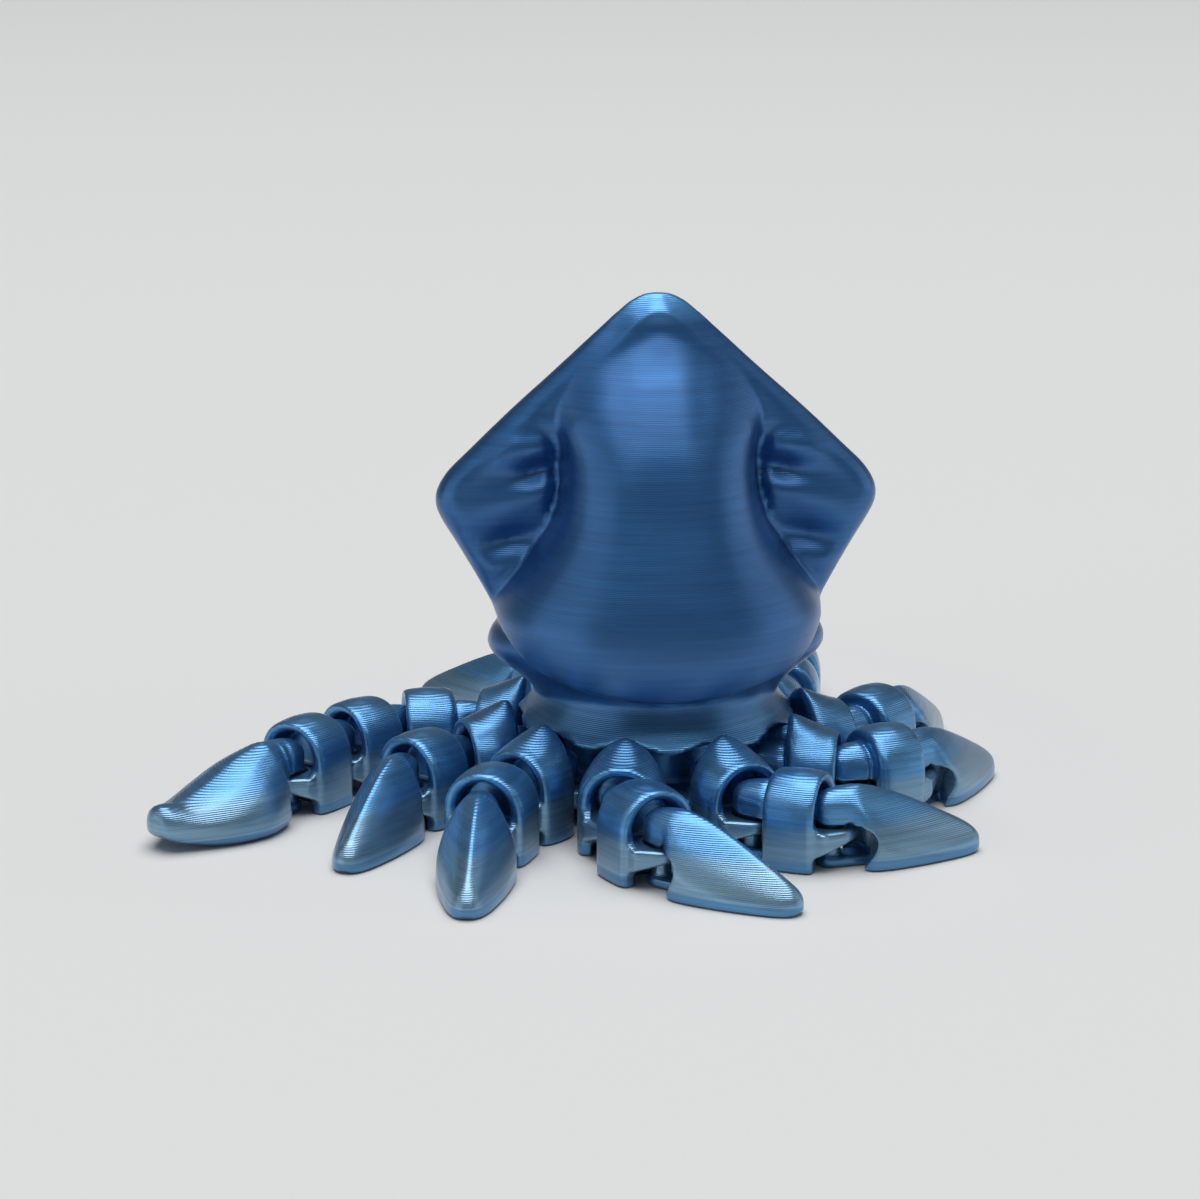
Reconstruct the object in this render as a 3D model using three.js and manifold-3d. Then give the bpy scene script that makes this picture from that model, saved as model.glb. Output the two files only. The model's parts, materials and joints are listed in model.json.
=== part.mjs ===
import * as THREE from 'three';
import Module from 'manifold-3d';

// Jointed squid figure in printed plastic: a body with ten jointed limbs, eight short and two long.
// Millimetres, +Z up, fins in the XZ plane, front of the figure toward -Y, table at z = 0.

// Joint: a flat eye on the piece nearer the body, a hook on the next piece that passes through it.
const hookPostRadius = 1.2; // round post on the hinge axis
const hookFootThickness = 1.3; // lower bar of the hook, on the table
const hookCrownThickness = 3.9; // upper bar of the hook
const hookFootWidth = 3.6; // width of the lower bar
const hookCrownWidth = 4.8; // width of the upper bar
const eyeThickness = 3.2; // height of the flat eye
const eyeBarWidth = 1.7; // material round the eye's hole
const eyeBevel = 2.0; // slope under the eye's rim
const jointClearance = 0.4; // printed gap on every side of the joint
const crownClearance = 0.6; // gap over the hook's upper bar
const jointPlay = 1.2; // a hook can also sit this much nearer to the eye's owner
const eyeTurn = 45; // half angle, in degrees, that the eye's round front covers
const footLip = 1.0; // how far a foot reaches back under the eye

// Links
const linkFootLength = 6.2; // flat foot of a link along the limb
const linkHalfWidth = 5.1; // at the middle of a link
const linkRearHalfWidth = 3.7;
const linkFrontHalfWidth = 4.5;
const wallThickness = 1.2; // side walls of the hollow front of a link
const roofThickness = 1.3; // roof over the next piece's hook
const frontSetback = 0.8; // walls end this far behind the next hinge axis
const shoulderDrop = 0.9; // a link's top is lower by this at both ends
const footChamfer = 0.4; // broken edge along the table
const rootPeakRise = 2.3; // the first link's ridge stands above the other links

// Tip of a short arm and club of a long arm
const tipLength = 16.0;
const tipHalfWidth = 4.7;
const tipRearHalfWidth = 3.5; // beside the hook
const tipNoseHeight = 3.0;
const clubLength = 18.6;
const clubHalfWidth = 6.8;
const clubNoseLift = 1.6; // the club's nose clears the table by this

// Body
const rootRadius = 15.5; // first hinge axes lie on this circle
const limbCount = 10;
const skirtHeight = 11.2; // lower edge of the skirt behind each limb's root
const skirtRadius = 16.9;
const lobeHeight = 10.3; // pointed lobes between the limbs end this far above the table
const lobeReach = 0.6; // and stand out from the skirt by this
const lobeHalfWidth = 1.6; // where a lobe leaves the skirt
const neckRadius = 15.7;
const neckHeight = 15.0;
const hemHeight = 17.4; // lower edge of the mantle at the front
const hemRadius = 18.2;
const hemLip = 1.6; // the hem stands out from the neck by this
const hemSideRise = 1.8; // the hem runs up toward the sides
const hemEyeRise = 5.2; // and further up over each eye
const mantleTop = 57.2;
const headRadius = 16.6; // under the hem
const headTop = 29.0;
const eyeBulgeRise = 4.2; // round eyes stand out from the head
const eyeBulgeHeight = 20.3;
const eyeBulgeHalfHeight = 4.7;
const eyeBulgeHalfTurn = 27; // degrees round the head
const finTop = 63.4;
const finHalfSpan = 27.0;
const finThickness = 5.3;
const finEdgeRound = 2.2; // roundness of the fin's edge
const creaseDepth = 1.7; // crease between mantle and fin, on both faces
const creaseHalfWidth = 1.0;

// Sizes that follow from the values above
const eyeHoleRadius = hookPostRadius + jointClearance;
const eyeRadius = eyeHoleRadius + eyeBarWidth;
const eyeBottom = hookFootThickness + jointClearance;
const eyeTop = eyeBottom + eyeThickness;
const crownBottom = eyeTop + jointClearance;
const hookTop = crownBottom + hookCrownThickness;
const hollowTop = hookTop + crownClearance;
const linkHeight = hollowTop + roofThickness;
const crownHalf = hookCrownWidth / 2;
const hookFootHalf = hookFootWidth / 2;
const eyeRoom = eyeRadius + jointClearance + jointPlay;
const rearFace = eyeRoom - jointPlay - footLip;
const linkPitch = rearFace + linkFootLength + frontSetback;
const hollowHalf = linkFrontHalfWidth - wallThickness;
const hollowDepth = crownHalf + jointClearance + jointPlay;
const hubRadius = rootRadius - crownHalf - jointPlay - 1.2 * jointClearance; // core under the skirt
const rootPeak = linkHeight + rootPeakRise;

const plastic = new THREE.MeshStandardMaterial({
  name: 'satin_plastic',
  color: 0x2f6fae,
  metalness: 0.25,
  roughness: 0.38,
});

const wasm = await Module();
wasm.setup();

const up = new THREE.Vector3(0, 0, 1);
const radians = THREE.MathUtils.degToRad;

// A closed solid from rings of points, all with the same count, in order along one direction.
function loft(rings) {
  const count = rings[0].length;
  const points = rings.flat();
  const faces = [];
  for (let r = 0; r + 1 < rings.length; r += 1) {
    for (let i = 0; i < count; i += 1) {
      const j = (i + 1) % count;
      const a = r * count + i;
      const b = r * count + j;
      faces.push(a, b, b + count, a, b + count, a + count);
    }
  }
  const last = (rings.length - 1) * count;
  for (let i = 1; i + 1 < count; i += 1) {
    faces.push(0, i + 1, i);
    faces.push(last, last + i, last + i + 1);
  }
  const mesh = new wasm.Mesh({
    numProp: 3,
    vertProperties: new Float32Array(points.flat()),
    triVerts: new Uint32Array(faces),
  });
  return new wasm.Manifold(mesh);
}

// Prism over an outline in plan, from one height to another; an inset list shapes its ends.
function prism(outline, levels) {
  const rings = levels.map((level) => insetOutline(outline, level.inset ?? 0)
    .map(([x, y]) => [x, y, level.z]));
  return loft(rings);
}

// Moves every corner of a convex outline inward by a distance.
function insetOutline(outline, distance) {
  if (distance === 0) {
    return outline;
  }
  const count = outline.length;
  return outline.map((point, i) => {
    const before = outline[(i + count - 1) % count];
    const after = outline[(i + 1) % count];
    const inA = new THREE.Vector2(before[1] - point[1], point[0] - before[0]).normalize();
    const inB = new THREE.Vector2(point[1] - after[1], after[0] - point[0]).normalize();
    const sum = inA.clone().add(inB);
    const scale = distance / (1 + inA.dot(inB));
    return [point[0] + sum.x * scale, point[1] + sum.y * scale];
  });
}

function arc(cx, cy, radius, from, to, steps) {
  const points = [];
  for (let i = 0; i <= steps; i += 1) {
    const angle = radians(from + ((to - from) * i) / steps);
    points.push([cx + radius * Math.cos(angle), cy + radius * Math.sin(angle)]);
  }
  return points;
}

function circle(cx, cy, radius, steps) {
  return arc(cx, cy, radius, 0, 360 - 360 / steps, steps - 1);
}

// Cross-section of a limb at one place along it: flat foot, upright sides, arched or ridged top.
function section(x, half, bottom, top, roundness, belly = null) {
  const steps = 6;
  const chamfer = belly ? Math.min(belly * 0.55, half / 3) : Math.min(footChamfer, half / 3);
  const spring = belly ? bottom + belly : Math.max(bottom + chamfer * 2, top - half * 1.05);
  const ring = [[x, half - chamfer, bottom], [x, half, bottom + chamfer]];
  for (let i = 0; i <= steps; i += 1) {
    const angle = (Math.PI * i) / steps;
    const c = Math.cos(angle);
    const s = Math.max(Math.sin(angle), 0);
    const y = half * Math.sign(c) * Math.abs(c) ** (2 / roundness);
    const z = spring + (top - spring) * s ** (2 / roundness);
    ring.push([x, Math.abs(c) < 1e-9 ? 0 : y, s < 1e-9 ? spring : z]);
  }
  ring.push([x, -half, bottom + chamfer], [x, -half + chamfer, bottom]);
  return ring;
}

function box(x0, x1, y0, y1, z0, z1) {
  return prism([[x0, y0], [x1, y0], [x1, y1], [x0, y1]], [{ z: z0 }, { z: z1 }]);
}

function hookBar(half, reach) {
  return [...arc(0, 0, half, 90, 270, 6), [reach, -half], [reach, half]];
}

// Room for the parent's eye in the rear of a piece: round about the hinge axis and open to the table,
// with the hook's post and lower bar left standing in it.
function eyeSlot() {
  const reach = eyeRoom + 2 * jointPlay;
  const room = prism(circle(0, 0, eyeRoom, 24), [
    { z: -1 },
    { z: crownBottom - jointClearance },
    { z: crownBottom, inset: jointClearance },
  ]);
  const post = prism(circle(0, 0, hookPostRadius, 8), [
    { z: hookFootThickness - 0.5 },
    { z: crownBottom + 0.5 },
  ]);
  const foot = prism(hookBar(hookFootHalf, reach), [{ z: -2 }, { z: hookFootThickness }]);
  return room.subtract(post).subtract(foot);
}

// The hook's two bars before the room for the eye is cut between them.
function hookBlank() {
  const reach = eyeRoom + jointClearance;
  const foot = prism(hookBar(hookFootHalf, reach), [{ z: 0 }, { z: eyeBottom + eyeThickness / 2 }]);
  const crown = prism(hookBar(crownHalf, reach), [
    { z: eyeTop - eyeThickness / 2 },
    { z: hookTop - crownHalf * 0.65 },
    { z: hookTop, inset: crownHalf * 0.72 },
  ]);
  return foot.add(crown);
}

// The flat eye round a hinge axis at x = axisX, with arms that run back into the piece that owns it.
function eye(axisX, backX, backHalf) {
  const frontHalf = backHalf - 0.1;
  const turn = radians(eyeTurn);
  const flankX = (eyeRadius - frontHalf * Math.sin(turn)) / Math.cos(turn);
  const flank = Math.min(flankX, eyeRadius * 0.2);
  const outline = [
    [backX, -backHalf], [axisX + flank, -frontHalf],
    ...arc(axisX, 0, eyeRadius, -eyeTurn, eyeTurn, 4),
    [axisX + flank, frontHalf], [backX, backHalf],
  ];
  const plate = prism(outline, [
    { z: eyeBottom, inset: eyeBevel },
    { z: eyeBottom + eyeBevel },
    { z: eyeTop },
  ]);
  const slot = [
    ...arc(axisX, 0, eyeHoleRadius, -90, 90, 6),
    ...arc(axisX - jointPlay, 0, eyeHoleRadius, 90, 270, 6),
  ];
  const hole = prism(slot, [{ z: eyeBottom - 1 }, { z: eyeTop + 1 }]);
  return { plate, hole };
}

// Hollow front of a link: arched above the eye, open to the table below it.
function frontHollow() {
  const back = linkPitch - hollowDepth;
  const front = linkPitch + eyeRadius;
  const spring = hollowTop - hollowHalf;
  const arch = [[-hollowHalf, eyeTop - 0.5], [hollowHalf, eyeTop - 0.5],
    ...arc(0, spring, hollowHalf, 0, 180, 6)];
  const upper = loft([back, front].map((x) => arch.map(([y, z]) => [x, y, z])));
  const lower = box(back, front, -hollowHalf, hollowHalf, -1, eyeBottom + 0.5);
  return upper.add(lower);
}

// Body of a link between its two joints, bead shaped along the limb.
function linkBead(roundness) {
  const front = linkPitch - frontSetback;
  const low = linkHeight - shoulderDrop;
  return loft([
    section(rearFace, linkRearHalfWidth, 0, low, roundness),
    section(rearFace + linkFootLength * 0.17, linkHalfWidth - 0.15, 0, linkHeight - shoulderDrop * 0.25, roundness),
    section(rearFace + linkFootLength * 0.5, linkHalfWidth, 0, linkHeight, roundness),
    section(front - linkFootLength * 0.17, linkHalfWidth - 0.1, 0, linkHeight - shoulderDrop * 0.2, roundness),
    section(front, linkFrontHalfWidth, 0, linkHeight - shoulderDrop * 0.4, roundness),
  ]);
}

function finishLink(outer) {
  const ring = eye(linkPitch, linkPitch - hollowDepth - 0.6, linkFrontHalfWidth - 0.25);
  return outer
    .subtract(frontHollow())
    .add(ring.plate)
    .subtract(ring.hole)
    .add(hookBlank())
    .subtract(eyeSlot());
}

function middleLink() {
  return finishLink(linkBead(2.2));
}

// First link of a limb: a taller, ridged rear stands against the skirt.
function rootLink() {
  const front = linkPitch - frontSetback;
  return finishLink(loft([
    section(rearFace, linkRearHalfWidth - 0.2, 0, rootPeak - 0.3, 1.5),
    section(rearFace + linkFootLength * 0.17, linkHalfWidth - 0.15, 0, rootPeak, 1.55),
    section(rearFace + linkFootLength * 0.5, linkHalfWidth, 0, linkHeight + rootPeakRise * 0.4, 1.8),
    section(front - linkFootLength * 0.17, linkHalfWidth - 0.1, 0, linkHeight - shoulderDrop * 0.1, 2.1),
    section(front, linkFrontHalfWidth, 0, linkHeight - shoulderDrop * 0.4, 2.2),
  ]));
}

function armTip() {
  const at = (share) => rearFace + tipLength * share;
  const outer = loft([
    section(rearFace, tipRearHalfWidth, 0, hookTop + 0.25, 1.8),
    section(at(0.08), tipHalfWidth * 0.94, 0, hookTop + 0.35, 1.7),
    section(at(0.18), tipHalfWidth, 0, hookTop + 0.05, 1.65),
    section(at(0.32), tipHalfWidth * 0.95, 0, hookTop * 0.91, 1.65),
    section(at(0.55), tipHalfWidth * 0.8, 0, hookTop * 0.72, 1.65),
    section(at(0.8), tipHalfWidth * 0.57, 0, hookTop * 0.48, 1.75),
    section(at(0.94), tipHalfWidth * 0.4, 0, tipNoseHeight, 1.9),
    section(at(1), tipHalfWidth * 0.2, 0.3, tipNoseHeight * 0.6, 2),
  ]);
  return outer.add(hookBlank()).subtract(eyeSlot());
}

// Leaf-shaped end of a long arm: broad low belly, ridged top, nose raised off the table.
function tentacleClub() {
  const at = (share) => rearFace + clubLength * share;
  const outer = loft([
    section(rearFace, tipRearHalfWidth + 0.1, 0, hookTop + 0.25, 1.8, 3.6),
    section(at(0.1), clubHalfWidth * 0.84, 0, hookTop + 0.4, 1.6, 3.0),
    section(at(0.3), clubHalfWidth, 0, hookTop * 0.94, 1.45, 2.6),
    section(at(0.5), clubHalfWidth * 0.95, 0, hookTop * 0.8, 1.45, 2.5),
    section(at(0.68), clubHalfWidth * 0.78, 0.2, hookTop * 0.68, 1.6, 2.4),
    section(at(0.84), clubHalfWidth * 0.54, clubNoseLift * 0.5, hookTop * 0.61, 1.8, 2.2),
    section(at(0.96), clubHalfWidth * 0.34, clubNoseLift, hookTop * 0.6, 2, 1.5),
    section(at(1), clubHalfWidth * 0.17, clubNoseLift + 0.9, hookTop * 0.53, 2, 0.7),
  ]);
  return outer.add(hookBlank()).subtract(eyeSlot());
}

// Level ring about the body's axis; squareness 2 is an ellipse, more is boxier.
function oval(rx, ry, z, steps = 24, squareness = 2) {
  const soft = (value) => Math.sign(value) * Math.abs(value) ** (2 / squareness);
  return circle(0, 0, 1, steps).map(([x, y]) => [soft(x) * rx, soft(y) * ry, z]);
}

function ellipsoid(cx, cy, cz, rx, ry, rz, turn = 0, around = 12, along = 6) {
  const rings = [];
  for (let i = 0; i <= along; i += 1) {
    const lat = -Math.PI / 2 + 0.22 + ((Math.PI - 0.44) * i) / along;
    rings.push(circle(0, 0, Math.cos(lat), around).map(([x, y]) => [x, y, Math.sin(lat)]));
  }
  const c = Math.cos(turn);
  const s = Math.sin(turn);
  return loft(rings.map((ring) => ring.map(([x, y, z]) => [
    cx + c * x * rx - s * z * rz, cy + y * ry, cz + s * x * rx + c * z * rz,
  ])));
}

// Half of the fin's outline from its top down one side, as shares of half span and of finTop.
const finSide = [
  [0.033, 1.0], [0.107, 0.987], [0.274, 0.927], [0.448, 0.858], [0.678, 0.767], [0.844, 0.695],
  [0.944, 0.651], [0.993, 0.612], [1.0, 0.585], [0.974, 0.56], [0.896, 0.509], [0.793, 0.435], [0.73, 0.38],
];

// A plate over an outline in the XZ plane, centred on the mid plane.
function uprightPlate(outline, levels) {
  return loft(levels.map((level) => insetOutline(outline, level.inset)
    .map(([x, z]) => [x, level.y, z])));
}

function fin() {
  const sideUp = finSide.map(([x, z]) => [x * finHalfSpan, z * finTop]).reverse();
  const sideDown = sideUp.map(([x, z]) => [-x, z]).reverse();
  const half = finThickness / 2;
  const edge = [[1, 0.75], [0.86, 0.36], [0.5, 0.07]]
    .map(([y, inset]) => ({ y: y * half, inset: inset * finEdgeRound }));
  return uprightPlate([...sideUp, ...sideDown], [
    ...edge,
    { y: 0, inset: 0 },
    ...edge.map(({ y, inset }) => ({ y: -y, inset })).reverse(),
  ]);
}

// Mantle from its hem to its top: half width and half depth as shares of hemRadius, height as a share
// of its rise, squareness.
const mantleSides = [
  [1.044, 1.033, 0.053, 2.1], [1.088, 1.044, 0.116, 2.1], [1.11, 1.027, 0.191, 2.1], [1.033, 0.984, 0.266, 2.15],
  [0.901, 0.923, 0.342, 2.3], [0.758, 0.846, 0.43, 2.6], [0.676, 0.769, 0.518, 2.8], [0.632, 0.67, 0.618, 2.9],
  [0.61, 0.566, 0.719, 2.8], [0.56, 0.451, 0.819, 2.6], [0.473, 0.346, 0.894, 2.4], [0.352, 0.247, 0.955, 2.2],
  [0.2, 0.15, 1, 2],
];

function mantle() {
  const rings = [
    [1 - hemLip / hemRadius, 1 - hemLip / hemRadius, 0, 2],
    [1, 1, 0, 2],
    ...mantleSides,
  ].map(([wide, deep, share, squareness]) => oval(hemRadius * wide, hemRadius * deep, share, 32, squareness));
  return loft(rings.map((ring, index) => ring.map(([x, y, share]) => {
    const side = Math.abs(x) / Math.hypot(x, y);
    const hem = hemHeight + hemSideRise * side ** 2 + hemEyeRise * side ** 18;
    const drop = index === 0 ? hemLip * 0.75 : 0;
    return [x, y, hem + (mantleTop - hem) * share - drop];
  })));
}

// Head under the hem with a round eye on each side.
function head() {
  const rise = headTop - neckHeight;
  const sides = [[neckRadius, 0], [neckRadius + 0.3, 0.14], [headRadius, 0.35], [headRadius, 0.62],
    [headRadius * 0.92, 0.85], [headRadius * 0.72, 1]];
  return loft(sides.map(([radius, share]) => {
    const z = neckHeight + rise * share;
    const lift = eyeBulgeRise * Math.exp(-(((z - eyeBulgeHeight) / eyeBulgeHalfHeight) ** 2));
    return circle(0, 0, 1, 40).map(([x, y]) => {
      const off = THREE.MathUtils.radToDeg(Math.asin(Math.abs(y)));
      const r = radius + lift * Math.exp(-((off / eyeBulgeHalfTurn) ** 2));
      return [x * r, y * r, z];
    });
  }));
}

// Skirt below the neck, and the pointed lobe that it has between two limbs.
function skirtRing() {
  return loft([
    oval(hubRadius - 1, hubRadius - 1, skirtHeight, 40),
    oval(skirtRadius - 0.4, skirtRadius - 0.4, skirtHeight, 40),
    oval(skirtRadius, skirtRadius, skirtHeight + 0.4, 40),
    oval((skirtRadius + neckRadius) / 2, (skirtRadius + neckRadius) / 2, (skirtHeight + neckHeight) / 2, 40),
    oval(neckRadius, neckRadius, neckHeight, 40),
    oval(neckRadius, neckRadius, neckHeight + 1, 40),
  ]);
}

function skirtLobe() {
  const tip = skirtRadius + lobeReach;
  const across = [[hubRadius - 0.5, lobeHalfWidth, 2.2], [skirtRadius - 0.8, lobeHalfWidth, 2.2],
    [skirtRadius, lobeHalfWidth * 0.45, 1.8], [tip, lobeHalfWidth * 0.12, 0.8]];
  return loft(across.map(([x, half, rise], i) => {
    const low = lobeHeight + (i === 3 ? 0.3 : 0);
    return [[x, -half, low + rise * 0.5], [x, -half * 0.5, low], [x, half * 0.5, low], [x, half, low + rise * 0.5],
      [x, half * 0.6, low + rise], [x, -half * 0.6, low + rise]];
  }));
}

// Folds of the fin: place along the fin and up it as shares, half length and half width in shares of
// the fin's thickness, slope in degrees, and how far the fold stands out of the face or lies in it.
const finFolds = [
  [0.585, 0.708, 0.85, 0.3, -8, 0.7], [0.67, 0.609, 1.1, 0.38, -20, 0.8], [0.69, 0.495, 0.6, 0.32, -38, 0.5],
];
const finValleys = [
  [0.548, 0.667, 0.62, 0.3, -14, 1.5], [0.607, 0.544, 0.7, 0.34, -6, 1.4], [0.578, 0.467, 0.5, 0.28, -48, 0.9],
];

// Fills slivers that stay sealed between joined shapes.
function withoutVoids(solid) {
  const shells = solid.decompose().filter((shell) => shell.volume() > 0);
  return shells.length === 1 ? shells[0] : solid;
}

// Rounded cutter that sinks into one face of the fin.
function faceCutter(face, x, z, along, deep, across, slope) {
  const stand = deep * 0.75;
  return ellipsoid(x, face * (finThickness / 2 + stand), z, along, deep + stand, across, slope, 12, 6);
}

function bodySolid() {
  let solid = loft([
    oval(hubRadius - footChamfer, hubRadius - footChamfer, 0, 20),
    oval(hubRadius, hubRadius, footChamfer, 20),
    oval(hubRadius, hubRadius, skirtHeight + 1, 20),
  ]);
  let holes = null;
  const lobe = skirtLobe();
  for (let limb = 0; limb < limbCount; limb += 1) {
    const turn = limbTurn(limb);
    const ring = eye(rootRadius, hubRadius - 1.5, linkFrontHalfWidth - 0.4);
    solid = solid.add(ring.plate.rotate([0, 0, turn]));
    const hole = ring.hole.rotate([0, 0, turn]);
    holes = holes ? holes.add(hole) : hole;
  }
  solid = solid.subtract(holes).add(skirtRing());
  for (let limb = 0; limb < limbCount; limb += 1) {
    solid = solid.add(lobe.rotate([0, 0, limbTurn(limb) + 180 / limbCount]));
  }
  solid = solid.add(head()).add(fin()).add(mantle());
  const creaseHeight = finTop * 0.605;
  for (const side of [-1, 1]) {
    const slant = (slope) => side * radians(-slope);
    for (const [along, height, length, width, slope, rise] of finFolds) {
      solid = solid.add(ellipsoid(side * along * finHalfSpan, 0, height * finTop, length * finThickness,
        finThickness / 2 + rise, width * finThickness, slant(slope), 12, 6));
    }
    for (const face of [-1, 1]) {
      for (const [along, height, length, width, slope, deep] of finValleys) {
        solid = solid.subtract(faceCutter(face, side * along * finHalfSpan, height * finTop,
          length * finThickness, deep, width * finThickness, slant(slope)));
      }
      solid = solid.subtract(faceCutter(face, side * finHalfSpan * 0.447, creaseHeight, creaseHalfWidth,
        creaseDepth, finTop * 0.14, 0));
    }
  }
  return withoutVoids(solid);
}

// Direction of a limb's root in plan, in degrees from +X, for limbs counted round from the front right.
function limbTurn(limb) {
  return -90 + 180 / limbCount + (limb * 360) / limbCount;
}

function meshOf(solid, name) {
  const data = solid.getMesh();
  const geometry = new THREE.BufferGeometry();
  const points = [];
  for (let i = 0; i < data.vertProperties.length; i += data.numProp) {
    points.push(data.vertProperties[i], data.vertProperties[i + 1], data.vertProperties[i + 2]);
  }
  geometry.setAttribute('position', new THREE.Float32BufferAttribute(points, 3));
  geometry.setIndex(Array.from(data.triVerts));
  geometry.computeVertexNormals();
  const mesh = new THREE.Mesh(geometry, plastic);
  mesh.name = name;
  return mesh;
}

const shapes = {
  root: rootLink(),
  link: middleLink(),
  tip: armTip(),
  club: tentacleClub(),
};

// Limbs counted round from the front right. Each joint rests at a turn, in degrees, and pushed in by
// some of its play, in millimetres.
const limbs = [
  { name: 'arm_front_right', rest: [[8, 0], [38, 0], [38, 0]] },
  { name: 'arm_fore_right', rest: [[22, 0], [36, 0.2], [25, 0.4]] },
  { name: 'arm_side_right', rest: [[20, 0.2], [24, 0.2], [18, 0.4]] },
  { name: 'tentacle_right', rest: [[22, 0], [20, 0], [4, 0.4], [10, 0.4], [5, 0.4]] },
  { name: 'arm_rear_right', rest: [[14, 0], [16, 0.2], [12, 0.4]] },
  { name: 'arm_rear_left', rest: [[0, 0], [12, 0.2], [24, 0.4]] },
  { name: 'tentacle_left', rest: [[23, 0], [16, 0], [34, 0], [12, 0], [-6, 0]] },
  { name: 'arm_side_left', rest: [[17, 0], [26, 0], [24, 0]] },
  { name: 'arm_fore_left', rest: [[11, 0], [18, 0], [17, 0.2]] },
  { name: 'arm_front_left', rest: [[6, 0], [38, 0], [24, 0]] },
];

const part = new THREE.Group();
part.name = 'jointed_squid';
part.add(meshOf(bodySolid(), 'body'));

limbs.forEach((limb, index) => {
  let parent = new THREE.Group();
  parent.rotation.z = radians(limbTurn(index));
  part.add(parent);
  let along = rootRadius;
  limb.rest.forEach(([bend, push], step) => {
    const joint = new THREE.Group();
    joint.position.set(along - push, 0, 0);
    joint.quaternion.setFromAxisAngle(up, radians(bend));
    parent.add(joint);
    const last = step === limb.rest.length - 1;
    let kind = 'link';
    let name = `${limb.name}_link${step + 1}`;
    if (step === 0) {
      kind = 'root';
      name = `${limb.name}_root`;
    } else if (last) {
      kind = limb.rest.length > 3 ? 'club' : 'tip';
      name = `${limb.name}_${kind}`;
    }
    joint.add(meshOf(shapes[kind], name));
    parent = joint;
    along = linkPitch;
  });
});

export default part;
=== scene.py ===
import json
import math

import bpy
import numpy as np
from mathutils import Matrix, Vector

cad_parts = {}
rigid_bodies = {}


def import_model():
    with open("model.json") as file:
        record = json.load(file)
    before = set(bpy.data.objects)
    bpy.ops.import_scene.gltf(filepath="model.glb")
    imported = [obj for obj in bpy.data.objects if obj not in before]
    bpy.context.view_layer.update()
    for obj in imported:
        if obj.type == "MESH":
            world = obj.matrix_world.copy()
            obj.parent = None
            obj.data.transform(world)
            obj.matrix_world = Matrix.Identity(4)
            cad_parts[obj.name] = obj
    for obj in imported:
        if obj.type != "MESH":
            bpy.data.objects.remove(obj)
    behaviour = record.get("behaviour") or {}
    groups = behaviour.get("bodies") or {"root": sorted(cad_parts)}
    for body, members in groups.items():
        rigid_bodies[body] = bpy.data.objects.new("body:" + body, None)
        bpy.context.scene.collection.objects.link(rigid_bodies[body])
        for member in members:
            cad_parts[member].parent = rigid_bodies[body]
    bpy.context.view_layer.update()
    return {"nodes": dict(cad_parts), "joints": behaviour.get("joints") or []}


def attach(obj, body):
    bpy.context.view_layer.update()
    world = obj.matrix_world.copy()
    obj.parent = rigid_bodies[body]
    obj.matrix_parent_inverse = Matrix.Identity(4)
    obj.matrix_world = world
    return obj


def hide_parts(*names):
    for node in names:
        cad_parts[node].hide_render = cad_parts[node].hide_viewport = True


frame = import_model()
mm = 0.001  # pieces are shaped in millimetres and brought to metres when they are placed


def clearSelection():
    if bpy.context.mode != 'OBJECT':
        bpy.ops.object.mode_set(mode='OBJECT')
    bpy.ops.object.select_all(action='DESELECT')


def pick(piece):
    clearSelection()
    piece.select_set(True)
    bpy.context.view_layer.objects.active = piece


def finishWith(piece, kind, **settings):
    pick(piece)
    modifier = piece.modifiers.new(kind.lower(), kind)
    for name, value in settings.items():
        setattr(modifier, name, value)
    bpy.ops.object.modifier_apply(modifier=modifier.name)


def cutAway(piece, cutter):
    finishWith(piece, 'BOOLEAN', object=cutter, operation='DIFFERENCE', solver='MANIFOLD')
    bpy.data.objects.remove(cutter)


def joinAll(pieces, name):
    clearSelection()
    for piece in pieces:
        piece.select_set(True)
    bpy.context.view_layer.objects.active = pieces[0]
    bpy.ops.object.join()
    pieces[0].name = name
    return pieces[0]


# One disc is extruded ring by ring, then each ring of points goes to its place.
def loftPiece(name, rings):
    count = len(rings[0])
    clearSelection()
    bpy.ops.mesh.primitive_circle_add(vertices=count, radius=1, fill_type='NGON')
    piece = bpy.context.object
    piece.name = name
    bpy.ops.object.mode_set(mode='EDIT')
    for step in range(1, len(rings)):
        bpy.ops.mesh.extrude_region_move(TRANSFORM_OT_translate={"value": (0, 0, 1)})
    bpy.ops.object.mode_set(mode='OBJECT')
    for vertex in piece.data.vertices:
        turn = math.atan2(vertex.co.y, vertex.co.x) / math.tau
        vertex.co = rings[round(vertex.co.z)][round(turn * count) % count]
    bpy.ops.object.mode_set(mode='EDIT')
    bpy.ops.mesh.select_all(action='SELECT')
    bpy.ops.mesh.normals_make_consistent(inside=False)
    bpy.ops.object.mode_set(mode='OBJECT')
    return piece


def arcPoints(cx, cy, radius, start, end, steps):
    turns = [math.radians(start + (end - start) * i / steps) for i in range(steps + 1)]
    return [(cx + radius * math.cos(t), cy + radius * math.sin(t)) for t in turns]


# Rows of numbers drawn out along a smooth curve that passes through each of them
def smoothRows(rows, steps):
    rows = [np.array(row, float) for row in rows]
    last = len(rows) - 1
    result = []
    for i in range(last):
        a, b, c, d = (rows[min(max(i + k, 0), last)] for k in (-1, 0, 1, 2))
        for k in range(steps):
            t = k / steps
            result.append(b + 0.5 * t * (c - a + t * (2 * a - 5 * b + 4 * c - d + t * (3 * (b - c) + d - a))))
    return result + [rows[last]]


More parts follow.
